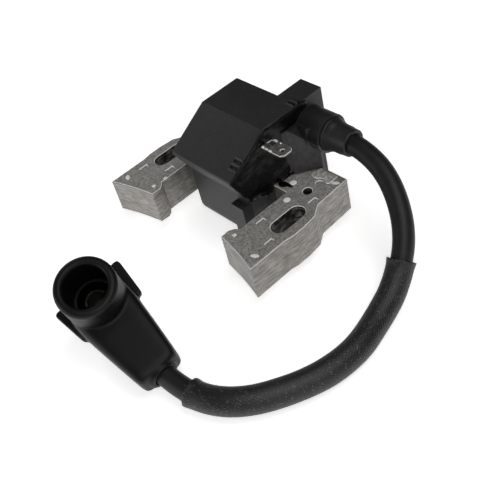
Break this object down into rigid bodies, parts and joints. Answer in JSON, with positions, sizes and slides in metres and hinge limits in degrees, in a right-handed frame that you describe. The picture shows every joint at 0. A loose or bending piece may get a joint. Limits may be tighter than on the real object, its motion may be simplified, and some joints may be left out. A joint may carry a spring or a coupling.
{
  "type": "ignition coil",
  "caption": "Small-engine ignition coil: laminated U core with slotted legs, potted coil housing with stop terminal, and a sleeved high-tension lead ending in a right-angled plug boot",
  "frame": {"origin": "midway between the centres of the two mounting slots, on the underside of the lamination stack", "axes": "+Z square to the laminations, out of their top face; +X from the left leg to the right leg, the side of the high-voltage outlet; +Y away from the flywheel"},
  "size_m": [0.1345, 0.128, 0.0492],
  "materials": {
    "core_steel": "silicon-steel laminations, sheared edges, light oil film",
    "bright_steel": "bright ends of the staked pins",
    "housing_plastic": "moulded charcoal thermoplastic, fine spark texture",
    "potting_epoxy": "poured black epoxy, glossy, uneven",
    "bobbin_plastic": "moulded glass-filled plastic",
    "copper_wire": "enamelled copper wire",
    "insulation_film": "clear amber film",
    "circuit_board": "glass-epoxy board with solder mask",
    "component_black": "moulded component body",
    "component_tan": "lacquered component body",
    "tinned_brass": "tin-plated brass stamping",
    "cap_rubber": "moulded rubber, satin",
    "lead_rubber": "extruded rubber jacket, satin",
    "sleeve_braid": "tight braided and varnished glass-fibre sleeve",
    "boot_rubber": "soft moulded rubber, matt"
  },
  "bodies": {
    "root": {"core_half_left": "core_steel", "core_half_right": "core_steel", "core_pins": "bright_steel", "coil_case": "housing_plastic", "end_plate": "housing_plastic", "potting": "potting_epoxy", "primary_bobbin": "bobbin_plastic", "primary_winding": "copper_wire", "winding_wrap": "insulation_film", "secondary_bobbin": "bobbin_plastic", "secondary_winding": "copper_wire", "trigger_board": "circuit_board", "switching_transistor": "component_black", "board_resistors": "component_tan", "board_diode": "component_black", "board_capacitor": "component_tan", "stop_terminal": "tinned_brass", "primary_leads": "copper_wire", "high_voltage_pin": "tinned_brass", "tower_cap": "cap_rubber", "earth_tab": "tinned_brass", "lead_jacket": "lead_rubber", "lead_conductor": "copper_wire", "braided_sleeve": "sleeve_braid", "plug_boot": "boot_rubber", "lead_needle": "tinned_brass", "plug_clip": "tinned_brass"}
  },
  "joints": []
}
